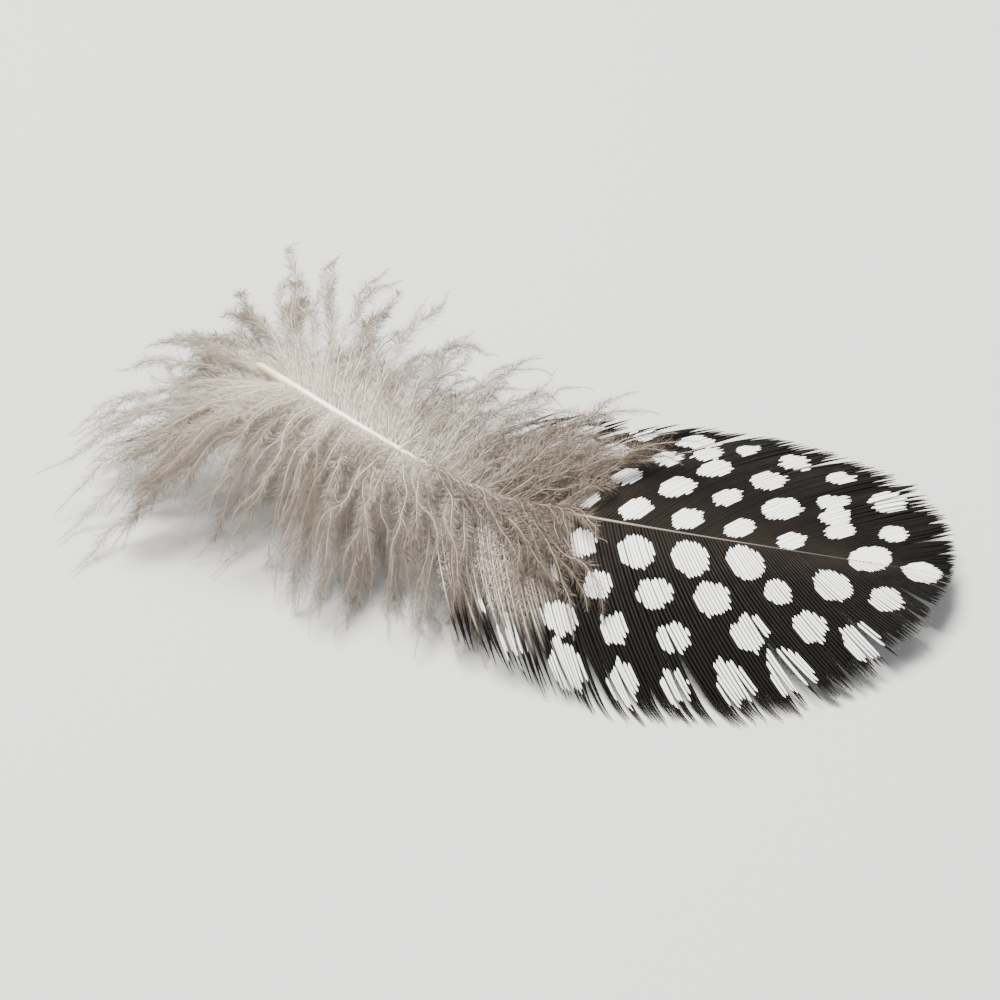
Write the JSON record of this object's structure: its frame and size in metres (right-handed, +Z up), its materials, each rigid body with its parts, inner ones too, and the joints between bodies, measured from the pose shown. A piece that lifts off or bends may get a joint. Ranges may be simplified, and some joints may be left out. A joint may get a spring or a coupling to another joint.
{
  "type": "guinea fowl feather",
  "caption": "Spotted guinea fowl body feather with a downy base, lying on its underside with one side of the vane bowed down to the surface.",
  "frame": {"origin": "middle of the feather's outline, on the surface that it lies on", "axes": "+X from the quill's end towards the tip of the vane, +Z up"},
  "size_m": [0.0887, 0.0451, 0.0147],
  "materials": {
    "barbs": "matte"
  },
  "bodies": {
    "root": {"feather": "barbs"}
  },
  "joints": []
}
